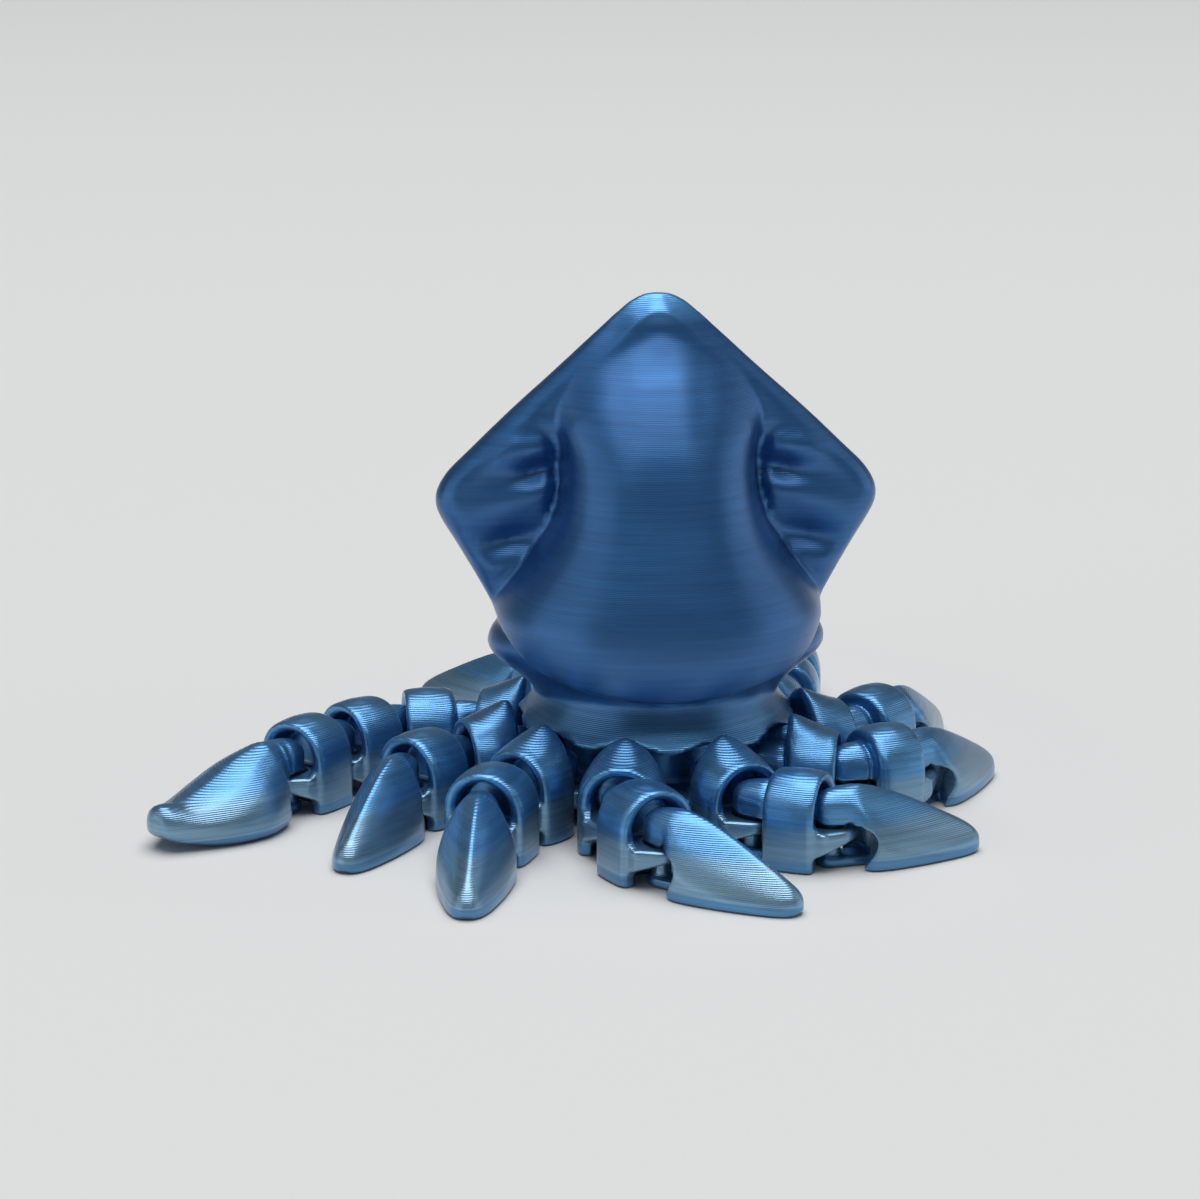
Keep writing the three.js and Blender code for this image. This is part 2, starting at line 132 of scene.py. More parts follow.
def insetOutline(outline, distance):
    points = np.array(outline, float)
    along = np.roll(points, -1, 0) - np.roll(points, 1, 0)
    along /= np.linalg.norm(along, axis=1)[:, None]
    inward = np.stack([-along[:, 1], along[:, 0]], 1)
    middle = points.mean(0)
    if ((middle - points) * inward).sum() < 0:
        inward = -inward
    return points + inward * distance


# Closed surface of even small faces over everything that is joined in the piece, with soft edges
def weld(piece, grain, passes):
    finishWith(piece, 'REMESH', mode='VOXEL', voxel_size=grain, adaptivity=0)
    finishWith(piece, 'SMOOTH', factor=0.5, iterations=passes)
    pick(piece)
    bpy.ops.object.shade_smooth()


def ramp(value, low, high):
    t = np.clip((value - low) / (high - low), 0, 1)
    return t * t * (3 - 2 * t)


# How far the cutting pieces reach past what they cut
cutReach = {
    "behind": -12,
    "ahead": 20,
    "aside": 10,
    "below": -1,
}

# Limbs, along +X from the hinge axis: hook, eye, links, tip and club
hook = {
    "postRadius": 1.2,
    "postSink": 1.0,  # into both bars
    "footTop": 1.3,
    "footHalf": 1.8,
    "footEdge": 0.3,
    "reach": 5.2,  # both bars run this far into the piece
    "crownBottom": 5.3,
    # x, half width, bottom, top, roundness, belly: the crown narrows to a beak over the eye
    "beak": [
        (-2.25, 0.4, 6.3, 7.6, 2.0, 0), (-2.05, 1.0, 5.8, 8.2, 2.0, 0), (-1.5, 1.6, 5.4, 8.75, 2.1, 0),
        (-0.6, 2.05, 5.3, 9.15, 2.1, 0), (0.8, 2.4, 5.3, 9.4, 2.1, 0), (1.9, 2.75, 5.3, 9.5, 2.0, 0),
    ],
    "neck": [(2.7, 2.65, 5.3, 9.35, 2.0, 0), (5.2, 2.6, 5.3, 9.3, 2.0, 0)],
    "pocketRadius": 4.9,  # room for the eye of the piece before
    "pocketHalf": 3.5,
    "pocketRear": 2.3,
    "pocketEdge": 0.4,  # slope at the top, and how much the pocket widens to the rear
    "pocketStep": 0.1,
    # rear edge of a tip's sides, x and height
    "rearEdge": [
        (2.75, -0.5), (2.8, 0.2), (3.2, 1.0), (3.9, 2.1), (4.3, 3.2), (4.15, 4.1), (3.5, 4.85), (2.5, 5.25),
        (1.4, 5.32),
    ],
}

eyePlate = {
    "bottom": 1.7,
    "top": 4.9,
    "slopeRise": 2.5,  # the underside slopes up to the front by this
    "edge": 0.4,
    "edgeRound": 0.3,
    "radius": 3.3,
    "hole": 1.6,
    "play": 1.2,
    "turn": 45,
    "flank": 0.2,  # the straight sides end this share of the radius past the axis
    "frontStep": 0.1,  # narrower at the front by this
    "flareBack": 0.75,  # and wider at the back
    "flare": [(1.6, 0.65), (0.8, 0.2)],  # place behind the axis, how much wider
}

link = {
    "pitch": 9.7,
    "hollowHalf": 3.3,
    "hollowTop": 9.8,
    "hollowBack": 5.7,
    "hollowRound": 1.2,  # between the walls and the top of the eye
    "hollowSink": 0.02,  # into the top of the eye
    "gapSink": 0.5,  # of the gap below it
    # x and how much the hollow widens there: a thick rounded rim
    "rim": [(5.7, 0), (7.9, 0), (8.3, 0.08), (8.6, 0.25), (8.8, 0.5), (8.95, 0.85), (9.6, 1.4)],
    "eyeHalf": 4.25,
    "eyeBack": 5.1,
    "filletX": 8.7,  # round corner above the eye
    "filletRadius": 1.7,
    "filletRoot": (0.6, 0.3),  # back into the wall and down into the eye
    "filletSink": 0.1,
    "grain": 0.2,
    "passes": 4,
    "bead": [
        (2.6, 3.9, 0, 10.2, 2.25, 0), (2.75, 4.5, 0, 10.65, 2.25, 0), (3.4, 5.05, 0, 10.95, 2.25, 0),
        (5.8, 5.18, 0, 11.15, 2.25, 0), (7.6, 5.12, 0, 11.05, 2.25, 0), (8.45, 5.0, 0, 10.95, 2.25, 0),
        (8.95, 4.6, 0, 10.75, 2.25, 0),
    ],
    "ridge": [
        (2.75, 3.4, 0, 12.6, 1.6, 0), (3.0, 4.15, 0, 13.0, 1.64, 0), (3.7, 5.0, 0, 12.95, 1.75, 0),
        (5.8, 5.35, 0, 12.0, 1.98, 0), (7.6, 5.25, 0, 11.25, 2.15, 0), (8.45, 5.0, 0, 11.0, 2.2, 0),
        (8.95, 4.6, 0, 10.78, 2.2, 0),
    ],
}

tip = {
    "grain": 0.2,
    "passes": 3,
    "stations": [
        (2.7, 3.5, 0, 9.55, 1.8, 0), (3.4, 4.2, 0, 9.55, 1.62, 0), (4.2, 4.55, 0, 9.4, 1.56, 0),
        (5.6, 4.65, 0, 9.05, 1.5, 0), (7.8, 4.45, 0, 8.3, 1.47, 0), (11.5, 3.82, 0, 6.6, 1.48, 0),
        (15.2, 2.85, 0, 4.7, 1.58, 0), (16.8, 2.25, 0, 3.8, 1.7, 0), (17.8, 1.7, 0.05, 3.1, 1.9, 0),
        (18.4, 1.15, 0.2, 2.5, 2.0, 0), (18.7, 0.65, 0.5, 2.0, 2.0, 0), (18.8, 0.3, 0.85, 1.6, 2.0, 0),
    ],
}

club = {
    "grain": 0.22,
    "passes": 3,
    "stations": [
        (2.7, 3.55, 0, 9.55, 1.9, 3.6), (3.5, 4.55, 0, 9.65, 1.82, 3.3), (4.6, 5.6, 0, 9.6, 1.75, 3.0),
        (8.3, 6.75, 0, 8.7, 1.68, 2.6), (12.0, 6.35, 0, 7.2, 1.68, 2.5), (15.3, 5.15, 0.2, 5.95, 1.75, 2.4),
        (17.4, 4.1, 0.6, 5.45, 1.82, 2.3), (19.0, 3.2, 1.0, 5.55, 1.9, 2.1), (20.3, 2.5, 1.6, 5.6, 2.0, 1.6),
        (21.0, 1.75, 2.2, 5.25, 2.0, 1.1), (21.35, 0.9, 2.9, 4.6, 2.0, 0.7),
    ],
}

section = {
    "steps": 28,
    "footEdge": 0.4,
    "bellyEdge": 0.55,
    "edgeRound": 0.3,
    "arch": 1.05,  # height of the roof for its half width
    "pointed": 0.8,  # the more pointed the roof, the lower it starts
}


# Flat foot, upright or bellied sides, arched or ridged top
def limbSection(x, half, bottom, top, roundness, belly):
    steps, cut = section["steps"], section["edgeRound"]
    bottom = max(bottom, 0)
    edge = min(belly * section["bellyEdge"] if belly else section["footEdge"], half / 3)
    arch = half * (section["arch"] + max(0, 2 - roundness) * section["pointed"])
    spring = bottom + belly if belly else max(bottom + edge * 2, top - arch)
    right = [(half - edge, bottom), (half - edge * cut, bottom + edge * cut), (half, bottom + edge)]
    ring = [(x, y, z) for y, z in right]
    for i in range(steps + 1):
        angle = math.pi * i / steps
        across = math.cos(angle)
        rise = max(math.sin(angle), 0)
        y = math.copysign(abs(across) ** (2 / roundness), across) * half
        ring.append((x, y, spring + (top - spring) * rise ** (2 / roundness)))
    return ring + [(x, -y, z) for y, z in reversed(right)]


def limbLoft(name, stations):
    return loftPiece(name, [limbSection(*row) for row in smoothRows(stations, 4)])


def flatLoft(name, outline, levels):
    return loftPiece(name, [[(x, y, z) for x, y in insetOutline(outline, inset)] for z, inset in levels])


def hookPieces():
    half, reach = hook["footHalf"], hook["reach"]
    low, high, edge = hook["footTop"], hook["crownBottom"], hook["footEdge"]
    bar = arcPoints(0, 0, half, 90, 270, 24) + [(reach, -half), (reach, half)]
    foot = flatLoft("foot", bar, [(0, edge), (edge, 0), (low - edge, 0), (low, edge)])
    clearSelection()
    rise = high - low + hook["postSink"] * 2
    bpy.ops.mesh.primitive_cylinder_add(vertices=32, radius=hook["postRadius"], depth=rise,
                                        location=(0, 0, (high + low) / 2))
    post = bpy.context.object
    bpy.ops.object.transform_apply(location=True, rotation=True, scale=True)
    return [foot, post]


# Room between the two sides of a piece for the eye of the piece before
def eyePocket():
    radius, half, rear = hook["pocketRadius"], hook["pocketHalf"], hook["pocketRear"]
    edge, step, top = hook["pocketEdge"], hook["pocketStep"], hook["crownBottom"]
    turn = math.degrees(math.asin((half - step) / radius))
    plan = [(cutReach["behind"], -half - edge), (rear, -half - step)] + arcPoints(0, 0, radius, -turn, turn, 20)
    plan += [(rear, half + step), (cutReach["behind"], half + edge)]
    return flatLoft("pocket", plan, [(cutReach["below"], 0), (top - edge, 0), (top, edge)])


# A tip's sides end behind the eye in an upright, slightly hollow edge that arches over to the beak.
def rearCut():
    edge = [tuple(row) for row in smoothRows(hook["rearEdge"], 5)]
    side = [(cutReach["behind"], edge[0][1])] + edge + [(cutReach["behind"], edge[-1][1])]
    aside = cutReach["aside"]
    return loftPiece("rearCut", [[(x, y, z) for x, z in side] for y in (-aside, aside)])


# Slot through an eye: the post of the next piece can slide back in it.
def eyeHole(axisX):
    slot = arcPoints(axisX, 0, eyePlate["hole"], -90, 90, 16)
    slot += arcPoints(axisX - eyePlate["play"], 0, eyePlate["hole"], 90, 270, 16)
    ends = (eyePlate["bottom"] - 1, eyePlate["top"] + 1)
    return loftPiece("hole", [[(x, y, z) for x, y in slot] for z in ends])


def eyeRing(axisX, backX, backHalf):
    frontHalf = backHalf - eyePlate["frontStep"]
    turn = math.radians(eyePlate["turn"])
    radius = eyePlate["radius"]
    flank = min((radius - frontHalf * math.sin(turn)) / math.cos(turn), radius * eyePlate["flank"])
    side = [(backX, backHalf + eyePlate["flareBack"])]
    side += [(axisX - behind, backHalf + wider) for behind, wider in eyePlate["flare"]] + [(axisX + flank, frontHalf)]
    outline = [(x, -y) for x, y in side]
    outline += arcPoints(axisX, 0, radius, -eyePlate["turn"], eyePlate["turn"], 12)
    outline += side[::-1]
    bottom, top, edge = eyePlate["bottom"], eyePlate["top"], eyePlate["edge"]
    cut = edge * eyePlate["edgeRound"]
    plate = flatLoft("eye", outline, [(bottom, 0), (top - edge, 0), (top - cut, cut), (top, edge)])
    start, end = axisX - 1, axisX + radius + 1
    under = [(start, 0), (start, bottom), (end, bottom + eyePlate["slopeRise"]), (end, 0)]
    aside = cutReach["aside"]
    cutAway(plate, loftPiece("slope", [[(x, y, z) for x, z in under] for y in (-aside, aside)]))
    cutAway(plate, eyeHole(axisX))
    return plate


# Hollow front under an arched roof, open to the table below the eye
def hollowFront(piece):
    half, top, bend = link["hollowHalf"], link["hollowTop"], link["hollowRound"]
    floor = eyePlate["top"] - link["hollowSink"]
    arch = arcPoints(-half + bend, floor + bend, bend, 180, 270, 8)
    arch += arcPoints(half - bend, floor + bend, bend, 270, 360, 8)
    arch += arcPoints(0, top - half, half, 0, 180, 28)
    rings = []
    for x, wider in link["rim"]:
        grown = insetOutline(arch, -wider)
        rings.append([(x, y, max(z, floor)) for y, z in grown])
    cutAway(piece, loftPiece("arch", rings))
    under, below = eyePlate["bottom"] + link["gapSink"], cutReach["below"]
    low = [(-half, below), (half, below), (half, under), (-half, under)]
    cutAway(piece, loftPiece("gap", [[(x, y, z) for y, z in low] for x in (link["hollowBack"], cutReach["ahead"])]))


# Round corner on each side between the rim of the hollow and the eye
def rimFillets():
    sink, radius = link["filletSink"], link["filletRadius"]
    x, z = link["filletX"], eyePlate["top"] - sink
    back, down = link["filletRoot"]
    corner = [(x - back, z - down), (x + radius, z - down), (x + radius, z)]
    corner += arcPoints(x + radius, z + radius, radius, 270, 180, 10) + [(x - back, z + radius)]
    inner, outer = link["hollowHalf"] + sink, link["eyeHalf"] + sink
    fillets = []
    for start, end in ((inner, outer), (-outer, -inner)):
        fillets.append(loftPiece("fillet", [[(px, y, pz) for px, pz in corner] for y in (start, end)]))
    return fillets


def linkShape(name, stations):
    outer = limbLoft(name, stations)
    hollowFront(outer)
    cutAway(outer, eyeHole(link["pitch"]))
    cutAway(outer, eyePocket())
    ring = eyeRing(link["pitch"], link["eyeBack"], link["eyeHalf"])
    crown = limbLoft("crown", hook["beak"] + hook["neck"])
    piece = joinAll([outer, ring, crown] + rimFillets() + hookPieces(), name)
    weld(piece, link["grain"], link["passes"])
    return piece


def endShape(name, settings):
    outer = limbLoft(name, hook["beak"] + settings["stations"])
    cutAway(outer, rearCut())
    cutAway(outer, eyePocket())
    piece = joinAll([outer] + hookPieces(), name)
    weld(piece, settings["grain"], settings["passes"])
    return piece


shapes = {
    "root": linkShape("rootShape", link["ridge"]),
    "link": linkShape("linkShape", link["bead"]),
    "tip": endShape("tipShape", tip),
    "club": endShape("clubShape", club),
}
for kind, shape in shapes.items():
    print("limb shape", kind, len(shape.data.polygons), "faces")


body = {
    "limbs": 10,
    "hubRadius": 11.42,
    "hubTop": 14,
    "hubEdge": 0.4,
    "rootRadius": 15.5,
    "eyeHalf": 4.1,
    "eyeSink": 1.5,  # of the eyes' arms into the hub
    "skirtAround": 400,
    "skirtSteps": 7,
    "skirtSink": 1.0,
    "skirtEdge": (0.5, 0.35),  # slope of its lower edge, out and up
    "skirtRadius": 16.9,
    "flare": 1.8,
    "lobeReach": 0.65,  # the skirt swings out between the limbs by this
    "lobeBottom": 10.35,
    "archTop": 11.2,
    "neckRadius": 14.4,
    "neckHeight": 16.2,
    "grain": 0.4,
    "passes": 6,
}

mantle = {
    "hem": 17.4,
    "hemRise": 3.6,  # the hem runs up to the sides, and more over each eye
    "eyeRise": 2.8,
    "eyeNarrow": 12,
    "underside": [(3.5, 0.2), (0.5, 0.5)],  # under the hem: how far in, how far down
    "around": 240,
    "levels": 130,
    "crowding": 1.15,  # of the levels toward the top
    # height, half width, half depth, squareness
    "sides": [
        (16.0, 17.8, 17.8, 2.1), (17.4, 18.3, 18.2, 2.15), (19.5, 19.0, 18.8, 2.25), (22, 19.8, 19.0, 2.3),
        (25, 20.2, 18.7, 2.3), (28, 18.8, 17.9, 2.3), (31, 16.4, 16.8, 2.4), (34.5, 13.8, 15.4, 2.6),
        (38, 12.3, 14.0, 2.7), (42, 11.7, 12.6, 2.6), (45, 11.8, 11.3, 2.4), (47.5, 12.6, 9.9, 2.2),
        (50, 12.4, 8.4, 2.1), (53, 10.6, 6.5, 2.05), (55.4, 8.5, 4.9, 2.0), (57.5, 6.3, 3.6, 2.0),
        (59.5, 4.0, 2.4, 2.0), (61, 2.0, 1.4, 2.0), (64, 0.5, 0.3, 2.0),
    ],
    "bandHalf": 3.6,  # band down the middle of the upper front
    "bandSoft": 2,
    "bandRise": 0.35,
    "bandIn": (40, 52),  # heights between which it starts, and ends
    "bandOut": (53, 60),
    "fillet": 1.7,  # to the fin
    "lowFillet": 4.5,  # wider where the lower fin runs out
    "lowHeights": (26, 33),
    "topFillet": 2.2,  # and added at the top
    "topHeights": (46, 51),
    "leastHalf": 0.02,
}

fin = {
    "halfSpan": 27.0,
    "top": 63.4,
    "half": 2.7,
    "rim": 2.6,  # roundness of the edge, and how it changes at the top
    "apexRim": -0.5,
    "apexRadius": 5.5,
    "apexSlope": 1.1,
    "slopeStep": 0.2,  # mm up and down, to find the slope of the edge
    "apexHeights": (56, 61),
    "apexGap": 0.03,  # the highest ring stays this far below the top
    # share of the half span, share of the height
    "side": [
        (0.0, 1.0), (0.04, 0.999), (0.085, 0.993), (0.15, 0.975), (0.274, 0.927), (0.448, 0.858), (0.678, 0.77),
        (0.844, 0.702), (0.944, 0.66), (0.993, 0.625), (1.0, 0.598), (0.974, 0.568), (0.896, 0.512), (0.793, 0.435),
        (0.73, 0.38), (0.715, 0.345), (0.7, 0.3), (0.675, 0.27), (0.66, 0.25),
    ],
    # crease between mantle and fin: height, place from the mid plane, depth
    "crease": [
        (27.5, 14.0, 0), (30, 13.2, 0.7), (34, 12.4, 1.2), (40, 12.1, 1.3), (44, 12.1, 1.3), (46.3, 12.9, 0.9),
        (48, 14.0, 0),
    ],
    "creaseWidth": 1.0,
    "hood": 0.9,  # hollow along the top edges, this far inside them
    "hoodPlace": 4.4,
    "hoodWidth": 1.5,
    "hoodHeights": (48, 56),
    # folds: out, height, half length, half width, slope in degrees, rise
    "folds": [
        (16.0, 45.0, 4.8, 1.7, -10, 1.0), (14.6, 42.0, 3.0, 1.5, -14, -1.5), (18.6, 38.7, 6.6, 2.4, -22, 0.9),
        (17.4, 33.6, 4.2, 1.7, -10, -1.3), (20.0, 30.6, 3.6, 1.6, -40, 0.3), (15.4, 29.6, 2.4, 1.3, -48, -0.6),
    ],
}

head = {
    "around": 192,
    # height, radius
    "sides": [(12, 13.8), (13.5, 14.1), (15, 14.3), (17, 15.0), (20, 16.6), (24, 16.4), (27, 15), (30, 12)],
    "eyeRise": 4.2,
    "eyeHeight": 20.3,
    "eyeHalfHeight": 4.7,
    "eyeHalfWidth": 27,  # degrees round the head
}

mantle["rows"] = smoothRows(mantle["sides"], 4)
fin["rows"] = smoothRows([(x * fin["halfSpan"], z * fin["top"]) for x, z in fin["side"]], 6)[::-1]


def finEdge(z):
    rows = fin["rows"]
    return np.interp(z, [r[1] for r in rows], [r[0] for r in rows])


# Half depth of mantle and fin over the mid plane, from their outlines, creases and folds
def halfDepth(x, z):
    out = np.abs(x)
    heights = [row[0] for row in mantle["rows"]]
    wide, deep, square = (np.interp(z, heights, [row[k] for row in mantle["rows"]]) for k in (1, 2, 3))
    bulge = deep * np.clip(1 - np.clip(out / wide, 0, 1) ** square, 0, 1) ** (1 / square)
    half, soft = mantle["bandHalf"], mantle["bandSoft"]
    band = ramp(z, *mantle["bandIn"]) * (1 - ramp(z, *mantle["bandOut"])) * (1 - ramp(out, half - soft, half + soft))
    bulge = bulge + mantle["bandRise"] * band
    # distance from the fin's edge: from the round apex at the top, from the nearest side elsewhere
    step = fin["slopeStep"]
    slope = (finEdge(z + step) - finEdge(z - step)) / (2 * step)
    above = z - (fin["top"] - fin["apexRadius"])
    fromApex = fin["apexRadius"] - np.hypot(out, above)
    inset = np.where(above > out * fin["apexSlope"], fromApex, (finEdge(z) - out) / np.sqrt(1 + slope ** 2))
    flat = ramp(z, *fin["apexHeights"])  # the rounded edge becomes a flat slope at the top
    inside = np.clip(inset / (fin["rim"] + fin["apexRim"] * flat), 0, 1)
    plate = fin["half"] * ((1 - flat) * np.sqrt(np.clip(1 - (1 - inside) ** 2, 0, 1)) + flat * inside)
    membrane = np.zeros_like(plate)
    for place, height, length, width, tilt, rise in fin["folds"]:
        c, s = math.cos(math.radians(tilt)), math.sin(math.radians(tilt))
        along = (out - place) * c + (z - height) * s
        across = (z - height) * c - (out - place) * s
        membrane += rise * np.exp(-(along / length) ** 2 - (across / width) ** 2)
    rows = fin["crease"]
    line = np.interp(z, [r[0] for r in rows], [r[1] for r in rows])
    depth = np.interp(z, [r[0] for r in rows], [r[2] for r in rows], left=0, right=0)
    membrane -= depth * np.exp(-((out - line) / fin["creaseWidth"]) ** 2)
    hood = ramp(z, *fin["hoodHeights"]) * np.exp(-((inset - fin["hoodPlace"]) / fin["hoodWidth"]) ** 2)
    plate = plate + (membrane - fin["hood"] * hood) * inside ** 2
    # the higher of the two, with a fillet between them
    blend = mantle["fillet"] + (mantle["lowFillet"] - mantle["fillet"]) * (1 - ramp(z, *mantle["lowHeights"]))
    blend = blend + mantle["topFillet"] * ramp(z, *mantle["topHeights"])
    gap = np.clip(0.5 + 0.5 * (bulge - plate) / blend, 0, 1)
    return np.maximum(plate + (bulge - plate) * gap + blend * gap * (1 - gap) * 0.5, mantle["leastHalf"])


def mantlePiece():
    turns = np.arange(mantle["around"]) * math.tau / mantle["around"]
    side = np.abs(np.cos(turns))
    hem = mantle["hem"] + mantle["hemRise"] * side ** 2 + mantle["eyeRise"] * side ** mantle["eyeNarrow"]
    top = fin["top"] - fin["apexGap"]

    def ringAt(share, shrink, drop):
        z = hem + (top - hem) * share
        x = finEdge(z) * np.cos(turns)
        y = np.sign(np.sin(turns)) * halfDepth(x, z)
        length = np.maximum(np.hypot(x, y), 1e-6)
        x, y = x * (1 - shrink / length), y * (1 - shrink / length)
        return list(zip(x, y, z - drop))

    shares = [1 - (1 - i / mantle["levels"]) ** mantle["crowding"] for i in range(mantle["levels"] + 1)]
    rings = [ringAt(0, shrink, drop) for shrink, drop in mantle["underside"]]
    rings += [ringAt(share, 0, 0) for share in shares]
    return loftPiece("mantle", rings)


# Head under the hem, with a round eye on each side
def headPiece():
    turns = np.arange(head["around"]) * math.tau / head["around"]
    off = np.degrees(np.arcsin(np.abs(np.sin(turns))))  # from the nearer side
    rings = []
    for height, radius in smoothRows(head["sides"], 4):
        lift = head["eyeRise"] * math.exp(-((height - head["eyeHeight"]) / head["eyeHalfHeight"]) ** 2)
        radii = radius + lift * np.exp(-(off / head["eyeHalfWidth"]) ** 2)
        rings.append([(r * math.cos(t), r * math.sin(t), height) for r, t in zip(radii, turns)])
    return loftPiece("head", rings)


# Skirt under the neck: its edge swings out and down between each two limbs and up over each root.
def skirtPiece():
    turns = np.arange(body["skirtAround"]) * math.tau / body["skirtAround"]
    sector = math.tau / body["limbs"]
    off = np.abs((turns + math.pi / 2) % sector - sector / 2)
    lobe = 0.5 - 0.5 * np.cos(off * body["limbs"])
    bottom = body["archTop"] + (body["lobeBottom"] - body["archTop"]) * lobe
    swing = body["lobeReach"] * lobe
    edgeOut, edgeUp = body["skirtEdge"]
    inner = np.full(len(turns), body["hubRadius"] - body["skirtSink"])
    rows = [(inner, bottom), (body["skirtRadius"] - edgeOut + swing, bottom)]
    for step in range(body["skirtSteps"] + 1):
        share = step / body["skirtSteps"]  # from the edge up to the neck
        flare = (1 - share) ** body["flare"]
        radii = body["neckRadius"] + (body["skirtRadius"] - body["neckRadius"] + swing) * flare
        rows.append((radii, bottom + edgeUp + (body["neckHeight"] - bottom - edgeUp) * share))
    rings = []
    for radii, heights in rows:
        rings.append([(r * math.cos(t), r * math.sin(t), z) for r, t, z in zip(radii, turns, heights)])
    return loftPiece("skirt", rings)


def hubPieces():
    radius, high = body["hubRadius"], body["hubTop"]
    clearSelection()
    bpy.ops.mesh.primitive_cylinder_add(vertices=80, radius=radius, depth=high, location=(0, 0, high / 2))
    hub = bpy.context.object
    bpy.ops.object.transform_apply(location=True, rotation=True, scale=True)
    finishWith(hub, 'BEVEL', width=body["hubEdge"], segments=2, limit_method='ANGLE')
    ring = eyeRing(body["rootRadius"], radius - body["eyeSink"], body["eyeHalf"])
    pieces = [hub]
    for limb in range(body["limbs"]):
        turn = math.tau * (limb + 0.5) / body["limbs"] - math.pi / 2  # the front lies between two limbs
        copy = ring.copy()
        copy.data = ring.data.copy()
        bpy.context.scene.collection.objects.link(copy)
        copy.data.transform(Matrix.Rotation(turn, 4, 'Z'))
        pieces.append(copy)
    bpy.data.objects.remove(ring)
    return pieces


bodyShape = joinAll([mantlePiece(), headPiece(), skirtPiece()] + hubPieces(), "bodyShape")
weld(bodyShape, body["grain"], body["passes"])
print("body shape", len(bodyShape.data.polygons), "faces")


def toLinear(hexColor):
    channels = [int(hexColor[i:i + 2], 16) / 255 for i in (1, 3, 5)]
    return tuple(c / 12.92 if c <= 0.04045 else ((c + 0.055) / 1.055) ** 2.4 for c in channels) + (1.0,)


def addNode(tree, kind, settings=None, inputs=None):
    node = tree.nodes.new(kind)
    for name, value in (settings or {}).items():
        setattr(node, name, value)
    for name, value in (inputs or {}).items():
        if isinstance(value, bpy.types.NodeSocket):
            tree.links.new(value, node.inputs[name])
        else:
            node.inputs[name].default_value = value
    return node


silk = {
    # height in mm and colour: the print came out paler and greyer low down, where each layer is many short loops,
    #     # and the paler colour at the very top of the fin is a painted highlight, where its top catches the overhead
    #     light
    "tonesAndTopHighlight": [
        (0.0, "#5087b5"), (1.3, "#5389b6"), (1.55, "#83a7c1"), (1.8, "#6893b7"), (2.1, "#7ca2bc"), (5.2, "#6d98b9"),
        (6.2, "#5090c6"), (12.5, "#5191c6"), (14.0, "#3f79ae"), (17.0, "#2b65a0"), (59.5, "#2a64a0"),
        # the last two stops are a painted highlight over the top of the fin
        (61.8, "#4d92d0"), (64.0, "#5ba2e0"),
    ],
    "toneSpan": 64.0,
    "violet": "#5a54b0",
    "layer": 0.2,  # mm
    "groove": 0.042,  # mm
    "streak": 0.45,  # mm high, and drawn out along the layer
    "streakLength": 14.0,
    "band": 1.6,
    "bandLength": 40.0,
    "wander": 1.2,  # mm, of the tones' heights
    # from one height to another, in mm, and the values there: limbs, then mantle
    "calm": (10, 18, 0.85, 0.55),  # strength of streaks and grooves
    "metal": (8, 17, 0.8, 0.85),
    "rough": (8, 17, 0.3, 0.38),
    "slope": (0.1, 0.75, 0.35, 1.0),  # upward share of the surface, strength of grooves
}


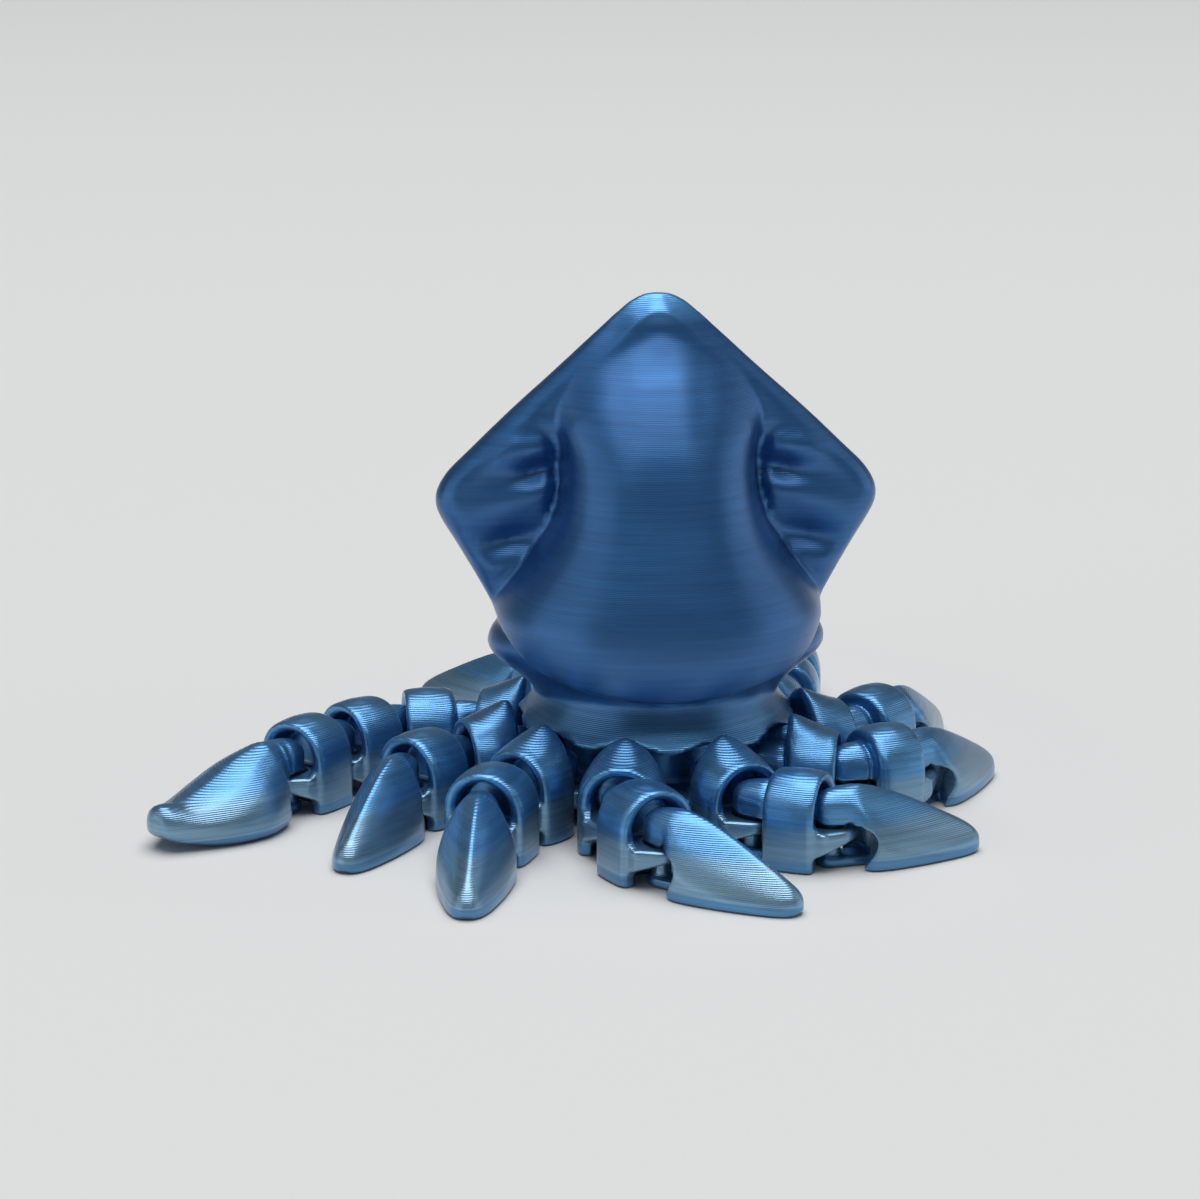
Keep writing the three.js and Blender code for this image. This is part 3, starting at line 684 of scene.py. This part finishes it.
# Silk PLA, printed in 0.2 mm layers: a satin pearl sheen that spreads up and down across the layer lines,
# fine level lines that show most on slopes, and faint level streaks.
def silkPla():
    material = bpy.data.materials.new("silkPla")
    material.use_nodes = True
    tree = material.node_tree
    tree.nodes.clear()
    coordinates = addNode(tree, 'ShaderNodeTexCoord')
    place = coordinates.outputs["Object"]
    height = addNode(tree, 'ShaderNodeSeparateXYZ', inputs={"Vector": place}).outputs["Z"]

    def math2(operation, first, second=0.0, third=0.0):
        return addNode(tree, 'ShaderNodeMath', {"operation": operation}, {0: first, 1: second, 2: third}).outputs[0]

    def levelNoise(high, long):
        scale = (1 / (long * mm), 1 / (long * mm), 1 / (high * mm))
        spread = addNode(tree, 'ShaderNodeMapping', inputs={"Vector": place, "Scale": scale}).outputs[0]
        return addNode(tree, 'ShaderNodeTexNoise', inputs={"Vector": spread, "Scale": 1, "Detail": 2}).outputs[0]

    def fade(value, row, unit):
        low, high, start, end = row
        return addNode(tree, 'ShaderNodeMapRange', inputs={
            "Value": value, "From Min": low * unit, "From Max": high * unit,
            "To Min": start, "To Max": end}).outputs[0]

    wide = silk["wander"] * mm
    wander = math2('MULTIPLY_ADD', levelNoise(silk["band"], silk["bandLength"]), wide, -wide / 2)
    share = math2('DIVIDE', math2('ADD', height, wander), silk["toneSpan"] * mm)
    # colour ramp by height: the print's own tones, with a painted highlight at the top of the fin
    toneAndTopHighlight = addNode(tree, 'ShaderNodeValToRGB', inputs={"Fac": share})
    stops = toneAndTopHighlight.color_ramp.elements
    rows = [(high / silk["toneSpan"], toLinear(color)) for high, color in silk["tonesAndTopHighlight"]]
    stops[0].position, stops[0].color = rows[0]
    stops[1].position, stops[1].color = rows[-1]
    for position, color in rows[1:-1]:
        stops.new(position).color = color
    # streaks: strong on the limbs, fainter on the mantle
    calm = fade(height, silk["calm"], mm)
    streak = math2('MULTIPLY', math2('SUBTRACT', levelNoise(silk["streak"], silk["streakLength"]), 0.5), calm)
    light = math2('ADD', streak, 1.0)
    color = addNode(tree, 'ShaderNodeVectorMath', {"operation": 'SCALE'}, {
        0: toneAndTopHighlight.outputs[0], "Scale": light}).outputs[0]
    # level lines between layers, deeper where the surface slopes
    layers = math2('MULTIPLY', height, 1 / (silk["layer"] * mm))
    bow = math2('PINGPONG', math2('FRACT', layers), 0.5)
    facing = addNode(tree, 'ShaderNodeSeparateXYZ', inputs={"Vector": coordinates.outputs["Normal"]}).outputs["Z"]
    slope = fade(math2('ABSOLUTE', facing), silk["slope"], 1)
    bump = addNode(tree, 'ShaderNodeBump', inputs={
        "Height": bow, "Distance": silk["groove"] * mm * 2, "Strength": math2('MULTIPLY', slope, calm)}).outputs[0]
    upright = addNode(tree, 'ShaderNodeCombineXYZ', inputs={"Z": 1}).outputs[0]
    shader = addNode(tree, 'ShaderNodeBsdfPrincipled', inputs={
        "Base Color": color, "Metallic": fade(height, silk["metal"], mm), "Roughness": fade(height, silk["rough"], mm),
        "IOR": 1.6, "Anisotropic": 0.4,
        "Coat Weight": 0.45, "Coat Roughness": 0.28, "Coat IOR": 1.6,
        "Sheen Weight": 0.04, "Sheen Roughness": 0.35, "Sheen Tint": toLinear(silk["violet"]),
        "Tangent": upright, "Normal": bump, "Coat Normal": bump,
    })
    addNode(tree, 'ShaderNodeOutputMaterial', inputs={"Surface": shader.outputs["BSDF"]})
    return material


silkMaterial = silkPla()


def placePiece(shape, node, place):
    piece = shape.copy()
    piece.data = shape.data.copy()
    piece.name = node + "_print"
    bpy.context.scene.collection.objects.link(piece)
    piece.data.transform(place @ Matrix.Scale(mm, 4))
    piece.data.materials.clear()
    piece.data.materials.append(silkMaterial)
    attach(piece, node)
    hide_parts(node)


hinges = {joint["child"]: Vector(joint["pos_m"]) for joint in frame["joints"]}
nextPiece = {joint["parent"]: joint["child"] for joint in frame["joints"] if joint["parent"] != "body"}


# A limb piece points at the next hinge, or at the middle of its own points where it is the last.
def headingOf(node):
    here = hinges[node]
    if node in nextPiece:
        there = hinges[nextPiece[node]]
    else:
        corners = {tuple(round(c, 6) for c in v.co) for v in frame["nodes"][node].data.vertices}
        there = sum((Vector(c) for c in corners), Vector()) / len(corners)
    return math.atan2(there.y - here.y, there.x - here.x)


placePiece(bodyShape, "body", Matrix.Identity(4))
for node, hinge in hinges.items():
    kind = "link" if "_link" in node else node.rsplit("_", 1)[1]
    place = Matrix.Translation((hinge.x, hinge.y, 0)) @ Matrix.Rotation(headingOf(node), 4, 'Z')
    placePiece(shapes[kind], node, place)
for shape in list(shapes.values()) + [bodyShape]:
    bpy.data.objects.remove(shape)
print("placed", len(hinges) + 1, "pieces")


studio = {
    "floor": "#dcdddd",
    "floorSize": 14.0,
    "sky": 0.13,
    # softboxes: place, size, power; all aim at the figure
    "boxes": [
        ((0.0, 0.0, 3.2), (3.0, 3.7), 115),
        ((-3.2, -1.3, 0.75), (3.6, 1.3), 16.5),
        ((3.2, -0.3, 0.8), (3.2, 1.2), 12),
    ],
    "lens": 100.8,
    "cameraPlace": (-0.0417, -0.3973, 0.1322),
    "cameraTurn": (75, 0, -5),
}


def addFloor():
    clearSelection()
    bpy.ops.mesh.primitive_plane_add(size=studio["floorSize"], location=(0, 0, 0))
    floor = bpy.context.object
    floor.name = "floor"
    material = bpy.data.materials.new("paperSweep")
    material.use_nodes = True
    shader = material.node_tree.nodes["Principled BSDF"]
    shader.inputs["Base Color"].default_value = toLinear(studio["floor"])
    shader.inputs["Roughness"].default_value = 0.9
    shader.inputs["Specular IOR Level"].default_value = 0.1
    floor.data.materials.append(material)


def addLight():
    world = bpy.data.worlds.new("studio")
    world.use_nodes = True
    world.node_tree.nodes["Background"].inputs["Color"].default_value = (1, 1, 1, 1)
    world.node_tree.nodes["Background"].inputs["Strength"].default_value = studio["sky"]
    bpy.context.scene.world = world
    for place, size, power in studio["boxes"]:
        clearSelection()
        bpy.ops.object.light_add(type='AREA', location=place)
        box = bpy.context.object
        box.rotation_euler = Vector(place).to_track_quat('Z', 'Y').to_euler()
        box.data.shape = 'RECTANGLE'
        box.data.size, box.data.size_y = size
        box.data.energy = power


def addCamera():
    clearSelection()
    turn = [math.radians(a) for a in studio["cameraTurn"]]
    bpy.ops.object.camera_add(location=studio["cameraPlace"], rotation=turn)
    camera = bpy.context.object
    camera.data.lens = studio["lens"]
    camera.data.sensor_width = 36
    camera.data.sensor_fit = 'HORIZONTAL'
    camera.data.clip_start = 0.01
    camera.data.clip_end = 50
    bpy.context.scene.camera = camera


addFloor()
addLight()
addCamera()
bpy.context.scene.view_settings.view_transform = 'Standard'
print("studio ready")
